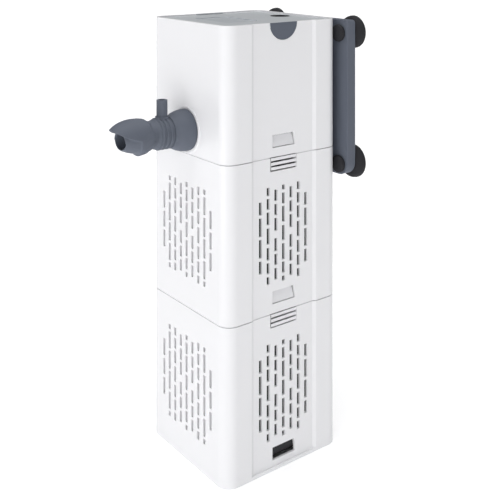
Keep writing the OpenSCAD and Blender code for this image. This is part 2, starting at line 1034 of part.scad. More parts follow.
module nozzle_solid(shrink, last) {
    rotate_extrude($fn = smooth)
        polygon(concat(
            [[0, nozzle_start], [9.3 - shrink, nozzle_start], [9.9 - shrink, nozzle_start + 0.5],
             [11.2 - shrink, nozzle_start + 2.6], [11.8 - shrink, nozzle_start + 6]],
            [for (i = [0 : bulge_steps])
                let (a = nozzle_mid + (last - nozzle_mid) * i / bulge_steps)
                [bulge_r(a) - shrink, a]],
            [[0, last]]));
}

// Side view of what is cut away under the hood: distance outward, then height
hood_cut = [[38.3, -14], [40.6, -0.4], [46, 1.2], [51, 3.1], [54, 4.9], [hood_end, 6.3],
            [hood_end + 4, 9], [hood_end + 4, -14]];

// The cup round the mouth, set in under the hood: distance outward, then radius
lip_profile = [[nozzle_start, 9.4], [36.9, 10.1], [40, 9.7], [42.7, 9.1], [45.5, 8.3],
               [48.2, 7.2], [49.2, 6.7], [lip_end, 6.1]];

module outlet_nozzle() {
    mouth_w = 7;
    mouth_h = 5;
    color(slate)
        along_outlet()
            difference() {
                union() {
                    // the hood, over the top and round the back
                    difference() {
                        nozzle_solid(0, hood_end);
                        rotate([0, -90, 0])
                            translate([0, 0, -20])
                                linear_extrude(40)
                                    polygon([for (p = hood_cut) p]);
                        intersection() {
                            nozzle_solid(1.8, hood_end + 1);
                            translate([-20, -20, 46])
                                cube([40, 40, 20]);
                        }
                    }
                    scale([1.17, 1, 1])
                        translate([0, -0.4, 0])
                            rotate_extrude($fn = smooth)
                                polygon(concat([[0, nozzle_start]],
                                               [for (p = lip_profile) [p[1], p[0]]],
                                               [[0, lip_end]]));
                }
                translate([0, 0, nozzle_start - 1])
                    cylinder(r = nose_r + running, h = 9.5, $fn = smooth);
                translate([0, mouth_z + 0.2, nozzle_start + 4])
                    scale([mouth_w / mouth_h, 1, 1])
                        cylinder(r = mouth_h, h = 40, $fn = smooth);
            }
}

// ---------------------------------------------------------------- bracket

module plate_plan() {
    r_low = 9;
    r_top = 2.5;
    translate([-plate_w / 2 + r_low, 0])
        square([plate_w - 2 * r_low, plate_h]);
    translate([-plate_w / 2, r_low])
        square([plate_w, plate_h - r_low - r_top]);
    translate([-plate_w / 2 + r_top, plate_h - r_low])
        square([plate_w - 2 * r_top, r_low]);
    for (side = [-1, 1]) {
        translate([side * (plate_w / 2 - r_low), r_low])
            circle(r_low, $fn = smooth);
        translate([side * (plate_w / 2 - r_top), plate_h - r_top])
            circle(r_top, $fn = fine);
    }
}

// Where each suction cup sits on the plate
function cup_place(side, top) =
    [side * cup_x, 0, top ? plate_top - cup_inset : plate_z0 + cup_inset - 1.6];

module hanger_plate() {
    web_t = 3;
    channel_top = plate_h + 1;
    rail_foot = rail_z0 - plate_z0;
    color(slate)
        difference() {
            translate([0, plate_y + plate_t, plate_z0])
                rotate([90, 0, 0])
                    linear_extrude(plate_t)
                        plate_plan();
            // channels for the head's rails, open at the top
            for (side = [-1, 1])
                translate([side * rail_x, 0, plate_z0 + rail_foot - slip]) {
                    span([-rail_neck / 2 - slip, plate_y - 1, 0],
                         [rail_neck / 2 + slip, plate_y + 3, channel_top]);
                    span([-rail_head / 2 - slip, plate_y + 2, 0],
                         [rail_head / 2 + slip, plate_y + 5, channel_top]);
                }
            for (side = [-1, 1], top = [false, true])
                translate(cup_place(side, top))
                    translate([0, plate_y - 1, 0])
                        rotate([-90, 0, 0])
                            cylinder(r = 3.7, h = plate_t + 2, $fn = fine);
            // light pockets in the back
            for (i = [-1, 1])
                span([-26, plate_y + web_t + 2.6, plate_z0 + plate_h / 2 + i * 24 - 20],
                     [26, plate_y + plate_t + 1, plate_z0 + plate_h / 2 + i * 24 + 20]);
        }
}

module suction_cup(side, top) {
    color(rubber_black)
        translate(cup_place(side, top))
            translate([0, plate_y, 0])
                rotate([-90, 0, 0])
                    rotate_extrude($fn = smooth)
                        polygon([
                            [0, -3.3], [2.6, -3.25], [4.4, -2.9], [5.5, -2.3], [6.05, -1.5],
                            [6.05, -0.9], [5.6, -0.3], [4.8, -0.1],
                            [3.5, -0.1], [3.5, plate_t + 0.1], [6, plate_t + 0.1],
                            [8.2, plate_t + 0.5], [9.8, plate_t + 1.4], [10.8, plate_t + 2.7],
                            [cup_r - 0.1, plate_t + 4.3], [cup_r, plate_t + cup_depth - 0.7],
                            [cup_r - 0.3, plate_t + cup_depth],
                            [cup_r - 1.2, plate_t + cup_depth],
                            [9, plate_t + 5.4], [6, plate_t + 4.3], [0, plate_t + 4]
                        ]);
}

module suction_cup_top_right() {
    suction_cup(1, true);
}

module suction_cup_top_left() {
    suction_cup(-1, true);
}

module suction_cup_bottom_right() {
    suction_cup(1, false);
}

module suction_cup_bottom_left() {
    suction_cup(-1, false);
}

// ---------------------------------------------------------------- nodes

lower_shell();
lower_sponge();
lower_core_tube();
lower_latch_right();
lower_latch_left();
upper_shell();
upper_sponge();
upper_core_tube();
upper_latch_right();
upper_latch_left();
head_casing();
intake_strainer();
intake_cover();
pump_chamber();
chamber_seal();
motor_housing();
stator_core();
stator_coils();
motor_lid();
motor_screws();
rotor_shaft();
shaft_mount_bottom();
shaft_mount_top();
rotor_magnet();
impeller();
top_cover();
cover_inset();
cable_gland();
side_button_right();
side_button_left();
button_spring_right();
button_spring_left();
outlet_collar();
outlet_seal();
outlet_barrel();
outlet_nozzle();
hanger_plate();
suction_cup_top_right();
suction_cup_top_left();
suction_cup_bottom_right();
suction_cup_bottom_left();
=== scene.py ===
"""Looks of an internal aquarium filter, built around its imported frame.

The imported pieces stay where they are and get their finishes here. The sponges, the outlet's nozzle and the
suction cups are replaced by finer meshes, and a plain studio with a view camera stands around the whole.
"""

import logging
import math
from dataclasses import dataclass
from enum import Enum
from typing import Any, ClassVar

import bmesh
import bpy
import numpy as np
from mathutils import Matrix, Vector


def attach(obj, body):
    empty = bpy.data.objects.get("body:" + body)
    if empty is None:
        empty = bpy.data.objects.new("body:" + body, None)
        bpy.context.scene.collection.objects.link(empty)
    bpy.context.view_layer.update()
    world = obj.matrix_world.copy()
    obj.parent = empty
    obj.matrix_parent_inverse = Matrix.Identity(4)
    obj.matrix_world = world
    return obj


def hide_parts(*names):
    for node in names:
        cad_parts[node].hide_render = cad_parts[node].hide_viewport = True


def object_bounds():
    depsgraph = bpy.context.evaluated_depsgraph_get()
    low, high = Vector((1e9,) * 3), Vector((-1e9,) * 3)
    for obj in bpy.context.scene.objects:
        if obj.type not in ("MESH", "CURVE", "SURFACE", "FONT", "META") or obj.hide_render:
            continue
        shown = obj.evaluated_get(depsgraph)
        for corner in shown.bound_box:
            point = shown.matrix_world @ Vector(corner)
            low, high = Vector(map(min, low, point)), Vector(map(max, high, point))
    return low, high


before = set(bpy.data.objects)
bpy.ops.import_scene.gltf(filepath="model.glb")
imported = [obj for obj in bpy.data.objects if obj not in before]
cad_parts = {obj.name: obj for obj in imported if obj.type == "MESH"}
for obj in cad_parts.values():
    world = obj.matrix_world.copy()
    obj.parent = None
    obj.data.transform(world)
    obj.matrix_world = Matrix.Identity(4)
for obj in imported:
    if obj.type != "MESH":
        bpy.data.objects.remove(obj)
cad_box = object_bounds()

log = logging.getLogger("internal_filter")

MM = 0.001
WHITE = (1.0, 1.0, 1.0, 1.0)
SEAM_REACH = 0.002 * MM
Colour = tuple[float, float, float]


# ------------------------------------------------------------------ shader graphs


class Graph:
    """A node tree that is being wired up."""

    def __init__(self, tree: bpy.types.NodeTree) -> None:
        """Keeps the tree that the nodes are added to."""
        self.tree = tree

    def add(self, kind: str, inputs: dict[str | int, Any] | None = None, **settings: Any) -> bpy.types.Node:
        """Adds one shader node.

        Args:
            kind: The node's type without its ShaderNode prefix.
            inputs: What each named or numbered input takes: a socket to link from, or a value.
            **settings: Properties of the node.

        Returns:
            The new node.
        """
        node = self.tree.nodes.new("ShaderNode" + kind)
        for name, value in settings.items():
            setattr(node, name, value)
        for name, value in (inputs or {}).items():
            if isinstance(value, bpy.types.NodeSocket):
                self.tree.links.new(value, node.inputs[name])
            else:
                node.inputs[name].default_value = value
        return node

    def calc(self, operation: str, *values: Any, clamp: bool = False) -> bpy.types.NodeSocket:
        """Does one sum on values or sockets and returns the socket with its result."""
        node = self.add("Math", dict(enumerate(values)), operation=operation, use_clamp=clamp)
        return node.outputs[0]

    def blend(self, factor: Any, low: Any, high: Any, mode: str = "MIX") -> bpy.types.NodeSocket:
        """Mixes two colours by a factor and returns the socket with the mixed colour."""
        inputs = {0: factor, 6: opaque(low), 7: opaque(high)}
        return self.add("Mix", inputs, data_type="RGBA", blend_type=mode).outputs[2]

    def spread(self, value: Any, low: float, high: float, out_low: float = 0.0,
               out_high: float = 1.0) -> bpy.types.NodeSocket:
        """Maps a value from one range to another, held inside the second, and returns its socket."""
        inputs = {0: value, 1: low, 2: high, 3: out_low, 4: out_high}
        return self.add("MapRange", inputs, interpolation_type="SMOOTHSTEP").outputs[0]


def opaque(colour: Any) -> Any:
    """Gives a plain colour its alpha, and leaves a socket as it is."""
    return (*colour, 1.0) if isinstance(colour, tuple) and len(colour) == 3 else colour


class SocketKind(Enum):
    """The kinds of socket that the effect groups have."""

    VALUE = "NodeSocketFloat"
    COLOUR = "NodeSocketColor"
    VECTOR = "NodeSocketVector"


class EffectGroup:
    """A shader node group with named inputs and outputs, built once."""

    def __init__(self, name: str, inputs: dict[str, float], outputs: dict[str, SocketKind]) -> None:
        """Makes the group's tree and sockets.

        Args:
            name: The group's name.
            inputs: Its value inputs, each with a default.
            outputs: Its outputs, each with a kind.
        """
        self.tree = bpy.data.node_groups.new(name, "ShaderNodeTree")
        for socket, default in inputs.items():
            made = self.tree.interface.new_socket(socket, in_out="INPUT", socket_type=SocketKind.VALUE.value)
            made.default_value = default
        for socket, kind in outputs.items():
            self.tree.interface.new_socket(socket, in_out="OUTPUT", socket_type=kind.value)
        self.graph = Graph(self.tree)
        self.entry = self.tree.nodes.new("NodeGroupInput")
        self.exit = self.tree.nodes.new("NodeGroupOutput")

    def take(self, name: str) -> bpy.types.NodeSocket:
        """The socket inside the group that holds one of its inputs."""
        return self.entry.outputs[name]

    def give(self, name: str, socket: bpy.types.NodeSocket) -> None:
        """Sends a socket out of the group under one of its outputs' names."""
        self.tree.links.new(socket, self.exit.inputs[name])

    def place(self, graph: Graph, **values: float) -> bpy.types.Node:
        """Puts the group into a material.

        Args:
            graph: The material's graph.
            **values: Values for the group's inputs, with underscores for the spaces in their names.

        Returns:
            The group node.
        """
        node = graph.tree.nodes.new("ShaderNodeGroup")
        node.node_tree = self.tree
        for name, value in values.items():
            node.inputs[name.replace("_", " ")].default_value = value
        return node


class Effects:
    """The effects that more than one finish uses."""

    def __init__(self) -> None:
        """Builds every group once."""
        self.rounding = self._rounding()
        self.grain = self._grain()
        self.dust_and_shade = self._dust_and_shade()

    @staticmethod
    def _rounding() -> EffectGroup:
        """Softens sharp edges in the normal and says where they are polished by handling."""
        group = EffectGroup("edge wear", {"Radius": 0.4 * MM, "Breakup": 260.0},
                            {"Normal": SocketKind.VECTOR, "Mask": SocketKind.VALUE})
        g = group.graph
        soft = g.add("Bevel", {"Radius": group.take("Radius")}, samples=6)
        flat = g.add("NewGeometry")
        match = g.add("VectorMath", {0: soft.outputs["Normal"], 1: flat.outputs["Normal"]},
                      operation="DOT_PRODUCT")
        edge = g.spread(match.outputs["Value"], 0.995, 0.8)
        place = g.add("TexCoord")
        patch = g.add("TexNoise", {"Vector": place.outputs["Object"], "Scale": group.take("Breakup"),
                                   "Detail": 3.0})
        broken = g.spread(patch.outputs["Fac"], 0.4, 0.65, 0.25, 1.0)
        group.give("Normal", soft.outputs["Normal"])
        group.give("Mask", g.calc("MULTIPLY", edge, broken))
        return group

    @staticmethod
    def _grain() -> EffectGroup:
        """The fine spark-eroded skin of a moulding and the slow mottle under it."""
        group = EffectGroup("mould grain", {"Scale": 900.0, "Mottle Scale": 30.0},
                            {"Height": SocketKind.VALUE, "Mottle": SocketKind.VALUE})
        g = group.graph
        place = g.add("TexCoord").outputs["Object"]
        fine = g.add("TexNoise", {"Vector": place, "Scale": group.take("Scale"), "Detail": 2.0,
                                  "Roughness": 0.6})
        pits = g.add("TexVoronoi", {"Vector": place, "Scale": group.take("Scale")}, feature="SMOOTH_F1")
        slow = g.add("TexNoise", {"Vector": place, "Scale": group.take("Mottle Scale"), "Detail": 3.0})
        pitted = g.calc("MULTIPLY", pits.outputs["Distance"], 0.5)
        group.give("Height", g.calc("ADD", fine.outputs["Fac"], pitted))
        group.give("Mottle", slow.outputs["Fac"])
        return group

    @staticmethod
    def _dust_and_shade() -> EffectGroup:
        """Where corners and grooves are closed in, found by ambient occlusion: the mask for their dusting
        and for the shade painted into their colour.
        """
        group = EffectGroup("dusting and painted shade", {"Reach": 2.5 * MM, "Patch Scale": 120.0},
                            {"Mask": SocketKind.VALUE})
        g = group.graph
        corner = g.add("AmbientOcclusion", {"Distance": group.take("Reach")}, samples=6)
        place = g.add("TexCoord")
        patch = g.add("TexNoise", {"Vector": place.outputs["Object"], "Scale": group.take("Patch Scale"),
                                   "Detail": 4.0})
        closed = g.spread(corner.outputs["AO"], 0.78, 0.4)
        group.give("Mask", g.calc("MULTIPLY", closed, g.spread(patch.outputs["Fac"], 0.35, 0.7, 0.3, 1.0)))
        return group


effects = Effects()


# ------------------------------------------------------------------ finishes


@dataclass(frozen=True)
class Moulded:
    """A moulded plastic or rubber skin.

    Attributes:
        name: The material's name.
        colour: Its colour, linear.
        roughness: How matt it is.
        grain: Cells of the moulded grain per metre.
        grain_depth: Depth of that grain, in metres.
        worn: Colour that its edges polish to.
        wear: How far they have, from 0 to 1.
        dust_and_shade: How strongly its closed-in corners take the corner colour, from 0 to 1: dusted grey
            on most finishes, painted shade on the shell, latches and cover.
        dust_and_shade_colour: The corner colour, linear: a grey dusting by default, dark painted shade in
            the slots, grooves, seams and recesses of the shell, latches and cover.
        coat: Weight of the clear gloss over it.
        specular: Strength of its reflection.
        radius: Rounding of its sharp edges, in metres.
    """

    name: str
    colour: Colour
    roughness: float
    grain: float = 1400.0
    grain_depth: float = 0.01 * MM
    worn: Colour = (1.0, 1.0, 1.0)
    wear: float = 0.1
    dust_and_shade: float = 0.1
    dust_and_shade_colour: Colour = (0.45, 0.44, 0.42)
    coat: float = 0.0
    specular: float = 0.5
    radius: float = 0.35 * MM

    def material(self) -> bpy.types.Material:
        """Builds the material, or returns the one that was built before."""
        found = bpy.data.materials.get(self.name)
        if found is not None:
            return found
        made = new_material(self.name)
        g = Graph(made.node_tree)
        grain = effects.grain.place(g, Scale=self.grain)
        edge = effects.rounding.place(g, Radius=self.radius)
        dust_and_shade = effects.dust_and_shade.place(g)
        mottled = g.blend(g.spread(grain.outputs["Mottle"], 0.3, 0.7, 0.0, 0.06), self.colour,
                          tuple(0.8 * c for c in self.colour))
        worn = g.blend(g.calc("MULTIPLY", edge.outputs["Mask"], self.wear), mottled, self.worn)
        # Closed-in corners take the corner colour: a grey dusting, and dark painted shade where that colour
        # is dark.
        dusty_and_shaded = g.blend(g.calc("MULTIPLY", dust_and_shade.outputs["Mask"], self.dust_and_shade), worn, self.dust_and_shade_colour)
        uneven = g.spread(grain.outputs["Mottle"], 0.3, 0.7)
        matt = g.calc("MULTIPLY_ADD", uneven, 0.08, self.roughness - 0.04)
        matt = g.calc("MULTIPLY_ADD", dust_and_shade.outputs["Mask"], 0.3 * self.dust_and_shade, matt, clamp=True)
        bump = g.add("Bump", {"Strength": 1.0, "Distance": self.grain_depth,
                              "Height": grain.outputs["Height"], "Normal": edge.outputs["Normal"]})
        g.add("BsdfPrincipled", {"Base Color": dusty_and_shaded, "Roughness": matt, "Normal": bump.outputs["Normal"],
                                 "Coat Weight": self.coat, "Coat Roughness": 0.12,
                                 "Specular IOR Level": self.specular})
        return finish_material(made)


@dataclass(frozen=True)
class Metal:
    """A bare metal with drawn or ground lines.

    Attributes:
        name: The material's name.
        colour: Its colour, linear.
        roughness: How matt it is.
        lines: Lines per metre across it.
    """

    name: str
    colour: Colour
    roughness: float
    lines: float = 3000.0

    def material(self) -> bpy.types.Material:
        """Builds the material, or returns the one that was built before."""
        found = bpy.data.materials.get(self.name)
        if found is not None:
            return found
        made = new_material(self.name)
        g = Graph(made.node_tree)
        place = g.add("TexCoord").outputs["Object"]
        drawn = g.add("TexNoise", {"Vector": place, "Scale": self.lines, "Detail": 2.0})
        tint = g.blend(g.spread(drawn.outputs["Fac"], 0.3, 0.7, 0.0, 0.3), self.colour,
                       tuple(0.6 * c for c in self.colour))
        matt = g.spread(drawn.outputs["Fac"], 0.3, 0.7, self.roughness - 0.06, self.roughness + 0.1)
        bump = g.add("Bump", {"Strength": 1.0, "Distance": 0.004 * MM, "Height": drawn.outputs["Fac"]})
        g.add("BsdfPrincipled", {"Base Color": tint, "Roughness": matt, "Normal": bump.outputs["Normal"],
                                 "Metallic": 1.0})
        return finish_material(made)


@dataclass(frozen=True)
class Foam:
    """An open-celled sponge.

    Attributes:
        name: The material's name.
        colour: Colour of the cell walls, linear.
        cells: Cells per metre.
    """

    name: str
    colour: Colour
    cells: float

    def material(self) -> bpy.types.Material:
        """Builds the material, or returns the one that was built before."""
        found = bpy.data.materials.get(self.name)
        if found is not None:
            return found
        made = new_material(self.name)
        g = Graph(made.node_tree)
        place = g.add("TexCoord").outputs["Object"]
        cells = g.add("TexVoronoi", {"Vector": place, "Scale": self.cells}, feature="DISTANCE_TO_EDGE")
        web = g.spread(cells.outputs["Distance"], 0.02, 0.3)
        # Cell hollows darken to 0.15 of the wall colour: painted shade in the pores.
        shade = g.blend(web, self.colour, tuple(0.15 * c for c in self.colour))
        bump = g.add("Bump", {"Strength": 1.0, "Distance": 0.6 * MM, "Height": web}, invert=True)
        g.add("BsdfPrincipled", {"Base Color": shade, "Roughness": 0.95, "Normal": bump.outputs["Normal"],
                                 "Specular IOR Level": 0.2})
        return finish_material(made)


def new_material(name: str) -> bpy.types.Material:
    """Makes an empty node material."""
    made = bpy.data.materials.new(name)
    made.use_nodes = True
    made.node_tree.nodes.clear()
    return made


def finish_material(made: bpy.types.Material) -> bpy.types.Material:
    """Joins a material's shader to its output and returns the material."""
    tree = made.node_tree
    shader = next(n for n in tree.nodes if n.bl_idname == "ShaderNodeBsdfPrincipled")
    output = tree.nodes.new("ShaderNodeOutputMaterial")
    tree.links.new(shader.outputs["BSDF"], output.inputs["Surface"])
    return made


class Finish(Enum):
    """Every finish on the filter."""

    # Shell: its dark corner colour is painted shade in the slots and seams.
    SHELL = Moulded("shell_white", (0.89, 0.89, 0.915), 0.3, coat=0.35, specular=0.55,
                     dust_and_shade=0.8, dust_and_shade_colour=(0.10, 0.10, 0.11))
    # Latch: its near-black corner colour is painted shade in the grooves between the ribs and round the pad.
    LATCH = Moulded("latch_white", (0.89, 0.89, 0.915), 0.3, coat=0.35, specular=0.55,
                    dust_and_shade=1.0, dust_and_shade_colour=(0.03, 0.03, 0.035))
    # Cover: its dark corner colour is painted shade in its corners and recesses.
    COVER = Moulded("cover_plastic", (0.82, 0.85, 0.89), 0.5, specular=0.15,
                    dust_and_shade=0.9, dust_and_shade_colour=(0.07, 0.07, 0.08))
    INSET = Moulded("inset_plastic", (0.62, 0.65, 0.69), 0.3)
    SLATE = Moulded("slate_plastic", (0.090, 0.109, 0.147), 0.34, worn=(0.3, 0.33, 0.38))
    RUBBER = Moulded("black_rubber", (0.005, 0.0055, 0.006), 0.33, specular=0.4,
                     worn=(0.06, 0.06, 0.06), grain_depth=0.02 * MM)
    SPONGE = Foam("filter_sponge", (0.06, 0.06, 0.065), 700.0)
    CORE = Moulded("core_plastic", (0.25, 0.27, 0.30), 0.45)
    MOTOR = Moulded("motor_plastic", (0.02, 0.022, 0.026), 0.4, worn=(0.08, 0.08, 0.09))
    LAMINATION = Metal("core_steel", (0.45, 0.46, 0.48), 0.45)
    COPPER = Metal("copper_wire", (0.72, 0.33, 0.15), 0.3)
    SCREW = Metal("screw_steel", (0.62, 0.63, 0.65), 0.25)
    SPRING = Metal("spring_steel", (0.55, 0.56, 0.58), 0.25)
    CERAMIC = Moulded("shaft_ceramic", (0.85, 0.83, 0.78), 0.2)
    FERRITE = Moulded("magnet_ferrite", (0.03, 0.028, 0.028), 0.6, worn=(0.12, 0.12, 0.12))
    IMPELLER = Moulded("impeller_plastic", (0.5, 0.52, 0.55), 0.4)

    @property
    def slot(self) -> str:
        """The finish's name."""
        return self.value.name


def dress(node: str, finish: Finish) -> bpy.types.Object:
    """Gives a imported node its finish.

    Args:
        node: The node's name.
        finish: The finish for all of its surface.

    Returns:
        The node's object.
    """
    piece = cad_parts[node]
    for place in piece.material_slots:
        place.material = finish.value.material()
    log.info("%s: %s", node, finish.slot)
    return piece


def round_edges(node: str, width: float = 0.3 * MM, angle: float = 20.0, flat: float = 0.4) -> None:
    """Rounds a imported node's sharp edges with modifiers.

    Args:
        node: The node's name.
        width: How wide the rounding is, in metres.
        angle: Edges sharper than this many degrees are rounded.
        flat: Faces that turn less than this many degrees are joined first.
    """
    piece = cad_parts[node]
    weld = piece.modifiers.new("seams", "WELD")
    weld.merge_threshold = SEAM_REACH
    flats = piece.modifiers.new("flats", "DECIMATE")
    flats.decimate_type = "DISSOLVE"
    flats.angle_limit = math.radians(flat)
    bevel = piece.modifiers.new("rounding", "BEVEL")
    bevel.width, bevel.segments = width, 2
    bevel.limit_method = "ANGLE"
    bevel.angle_limit = math.radians(angle)
    bevel.use_clamp_overlap = True
    bevel.harden_normals = False
    even = piece.modifiers.new("shading", "WEIGHTED_NORMAL")
    even.weight = 80


# ------------------------------------------------------------------ studio


@dataclass(frozen=True)
class ViewCamera:
    """A camera that looks level with its film dropped, so that uprights stay parallel.

    Attributes:
        eye: Where it stands, in metres.
        azimuth: Its heading in degrees, 0 looking along +Y and turning towards -X.
        reach: Focal length over the width of the film.
        drop: How far the film's middle lies under the axis, over the film's width.
        film: Width of the film, in millimetres.
    """

    eye: tuple[float, float, float] = (0.48419, -0.36218, 0.34545)
    azimuth: float = 52.79
    reach: float = 1.7342
    drop: float = 0.622
    film: float = 36.0

    def build(self) -> bpy.types.Object:
        """Makes the camera and makes it the scene's own."""
        lens = bpy.data.cameras.new("camera")
        lens.sensor_width = self.film
        lens.lens = self.film * self.reach
        lens.shift_y = -self.drop
        lens.clip_start, lens.clip_end = 0.01, 20.0
        camera = bpy.data.objects.new("camera", lens)
        bpy.context.scene.collection.objects.link(camera)
        camera.location = self.eye
        camera.rotation_euler = (math.pi / 2, 0, math.radians(self.azimuth))
        bpy.context.scene.camera = camera
        return camera


@dataclass(frozen=True)
class SoftBox:
    """A square studio light that faces the object.

    Attributes:
        name: Its name.
        place: Where it stands, in metres.
        size: Its side, in metres.
        power: Its power, in watts.
    """

    name: str
    place: tuple[float, float, float]
    size: float
    power: float

    def build(self, target: Vector) -> bpy.types.Object:
        """Makes the light and turns it to the target."""
        lamp = bpy.data.lights.new(self.name, "AREA")
        lamp.size = self.size
        lamp.energy = self.power
        made = bpy.data.objects.new(self.name, lamp)
        bpy.context.scene.collection.objects.link(made)
        made.location = self.place
        made.rotation_euler = (target - Vector(self.place)).to_track_quat("-Z", "Y").to_euler()
        made.visible_camera = False
        return made


@dataclass(frozen=True)
class FarLight:
    """A broad, far light, the same over the whole object.

    Attributes:
        name: Its name.
        source: The direction it comes from.
        spread: Angle that it fills, in degrees.
        strength: Its strength, in watts per square metre.
    """

    name: str
    source: tuple[float, float, float]
    spread: float
    strength: float

    def build(self, target: Vector) -> bpy.types.Object:
        """Makes the light; the target only says where it hangs."""
        lamp = bpy.data.lights.new(self.name, "SUN")
        lamp.energy = self.strength
        lamp.angle = math.radians(self.spread)
        made = bpy.data.objects.new(self.name, lamp)
        bpy.context.scene.collection.objects.link(made)
        made.location = target + Vector(self.source)
        made.rotation_euler = Vector(self.source).to_track_quat("Z", "Y").to_euler()
        return made


@dataclass(frozen=True)
class Studio:
    """A pale, faintly lit floor under soft light.

    Attributes:
        floor_half: Half the side of the floor, in metres.
        floor_gap: How far it lies under the object, in metres.
        floor_colour: Its colour, linear.
        floor_glow: Light that the floor gives of its own, as a light table does.
        ambient: Strength of the light from all round. The camera sees the world as plain white.
        lights: The lights.
    """

    floor_half: float = 6.0
    floor_gap: float = 0.05 * MM
    floor_colour: Colour = (0.93, 0.93, 0.935)
    floor_glow: float = 0.3
    ambient: float = 0.1
    lights: tuple[SoftBox | FarLight, ...] = (
        FarLight("top_light", (0.0, 0.0, 1.0), 60.0, 2.3),
        FarLight("key_light", (0.58, -0.81, 0.06), 50.0, 1.15),
        SoftBox("strip_light", (0.05, -1.25, 0.2), 0.5, 1.0),
        SoftBox("low_light", (0.10, -0.52, 0.04), 0.18, 0.3),
    )

    def build(self) -> None:
        """Makes the floor, the lights and the world."""
        middle = (cad_box[0] + cad_box[1]) / 2
        self._floor()
        for light in self.lights:
            light.build(middle)
        world = bpy.data.worlds.new("studio")
        world.use_nodes = True
        world.node_tree.nodes.clear()
        g = Graph(world.node_tree)
        light = g.add("Background", {"Color": WHITE, "Strength": self.ambient})
        paper = g.add("Background", {"Color": WHITE, "Strength": 1.0})
        seen = g.add("LightPath").outputs["Is Camera Ray"]
        both = g.add("MixShader", {0: seen, 1: light.outputs[0], 2: paper.outputs[0]})
        g.add("OutputWorld", {"Surface": both.outputs[0]})
        bpy.context.scene.world = world
        bpy.context.scene.view_settings.view_transform = "Standard"

    def _floor(self) -> None:
        """Makes the floor, just under the object."""
        half, level = self.floor_half, cad_box[0].z - self.floor_gap
        mesh = bpy.data.meshes.new("floor")
        mesh.from_pydata([(x * half, y * half, level) for x, y in ((-1, -1), (1, -1), (1, 1), (-1, 1))], [],
                         [(0, 1, 2, 3)])
        floor = bpy.data.objects.new("floor", mesh)
        bpy.context.scene.collection.objects.link(floor)
        made = new_material("floor_paper")
        g = Graph(made.node_tree)
        place = g.add("TexCoord").outputs["Object"]
        fibre = g.add("TexNoise", {"Vector": place, "Scale": 300.0, "Detail": 4.0})
        tint = g.blend(g.spread(fibre.outputs["Fac"], 0.3, 0.7, 0.0, 0.02), self.floor_colour,
                       tuple(0.8 * c for c in self.floor_colour))
        g.add("BsdfPrincipled", {"Base Color": tint, "Roughness": 0.9, "Specular IOR Level": 0.1,
                                 "Emission Color": WHITE, "Emission Strength": self.floor_glow})
        mesh.materials.append(finish_material(made))


# ------------------------------------------------------------------ shapes


def add_piece(name: str, mesh: bpy.types.Mesh, finish: Finish, body: str, *nodes: str) -> bpy.types.Object:
    """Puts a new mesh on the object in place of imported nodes.

    Args:
        name: The piece's name.
        mesh: Its mesh, in world coordinates.
        finish: Its finish.
        body: The moving body that it rides on.
        *nodes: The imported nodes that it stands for.

    Returns:
        The new object.
    """
    made = bpy.data.objects.new(name, mesh)
    bpy.context.scene.collection.objects.link(made)
    mesh.materials.clear()
    mesh.materials.append(finish.value.material())
    for face in mesh.polygons:
        face.use_smooth = True
        face.material_index = 0
    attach(made, body)
    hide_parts(*nodes)
    log.info("%s: %d faces, %s", name, len(mesh.polygons), finish.slot)
    return made


@dataclass(frozen=True)
class Turned:
    """A shape turned round an axis, its corners rounded.

    Attributes:
        profile: Closed outline of its section in millimetres: distance from the axis, distance along
            the axis, and the radius that the corner is rounded to.
        sides: How many steps it is turned in.
        steps: How many steps round each corner.
    """

    profile: tuple[tuple[float, float, float], ...]
    sides: int = 96
    steps: int = 5

    def outline(self) -> list[Vector]:
        """The section with its corners rounded."""
        points: list[Vector] = []
        count = len(self.profile)
        for i, (radius, along, corner) in enumerate(self.profile):
            here = Vector((radius, along))
            before = Vector(self.profile[i - 1][:2]) - here
            after = Vector(self.profile[(i + 1) % count][:2]) - here
            if corner <= 0 or radius <= 0:
                points.append(here)
                continue
            reach = min(corner, 0.45 * before.length, 0.45 * after.length)
            start, end = here + before.normalized() * reach, here + after.normalized() * reach
            for k in range(self.steps + 1):
                t = k / self.steps
                points.append(start * (1 - t) ** 2 + here * (2 * t * (1 - t)) + end * t ** 2)
        return points

    def mesh(self, name: str, origin: Vector, axis: Vector) -> bpy.types.Mesh:
        """Turns the section.

        Args:
            name: The mesh's name.
            origin: Where the axis starts, in metres.
            axis: Which way it runs.

        Returns:
            The closed mesh.
        """
        made = bmesh.new()
        across = axis.orthogonal().normalized()
        other = axis.cross(across).normalized()
        rings = []
        for point in self.outline():
            centre = origin + axis * (point.y * MM)
            if point.x < 1e-6:
                rings.append([made.verts.new(centre)])
                continue
            turns = (2 * math.pi * k / self.sides for k in range(self.sides))
            spokes = (across * math.cos(turn) + other * math.sin(turn) for turn in turns)
            rings.append([made.verts.new(centre + spoke * (point.x * MM)) for spoke in spokes])
        for low, high in zip(rings, rings[1:] + rings[:1]):
            for k in range(self.sides):
                corners = [low[k % len(low)], low[(k + 1) % len(low)], high[(k + 1) % len(high)],
                           high[k % len(high)]]
                kept = list(dict.fromkeys(corners))
                if len(kept) > 2:
                    made.faces.new(kept)
        bmesh.ops.recalc_face_normals(made, faces=made.faces)
        mesh = bpy.data.meshes.new(name)
        made.to_mesh(mesh)
        made.free()
        return mesh


def world_copy(node: str, name: str) -> bpy.types.Object:
    """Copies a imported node's mesh as a loose object in world coordinates, its seams welded."""
    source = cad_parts[node]
    mesh = source.data.copy()
    mesh.name = name
    mesh.transform(source.matrix_world)
    made = bmesh.new()
    made.from_mesh(mesh)
    bmesh.ops.remove_doubles(made, verts=made.verts, dist=SEAM_REACH)
    made.to_mesh(mesh)
    made.free()
    copy = bpy.data.objects.new(name, mesh)
    bpy.context.scene.collection.objects.link(copy)
    return copy


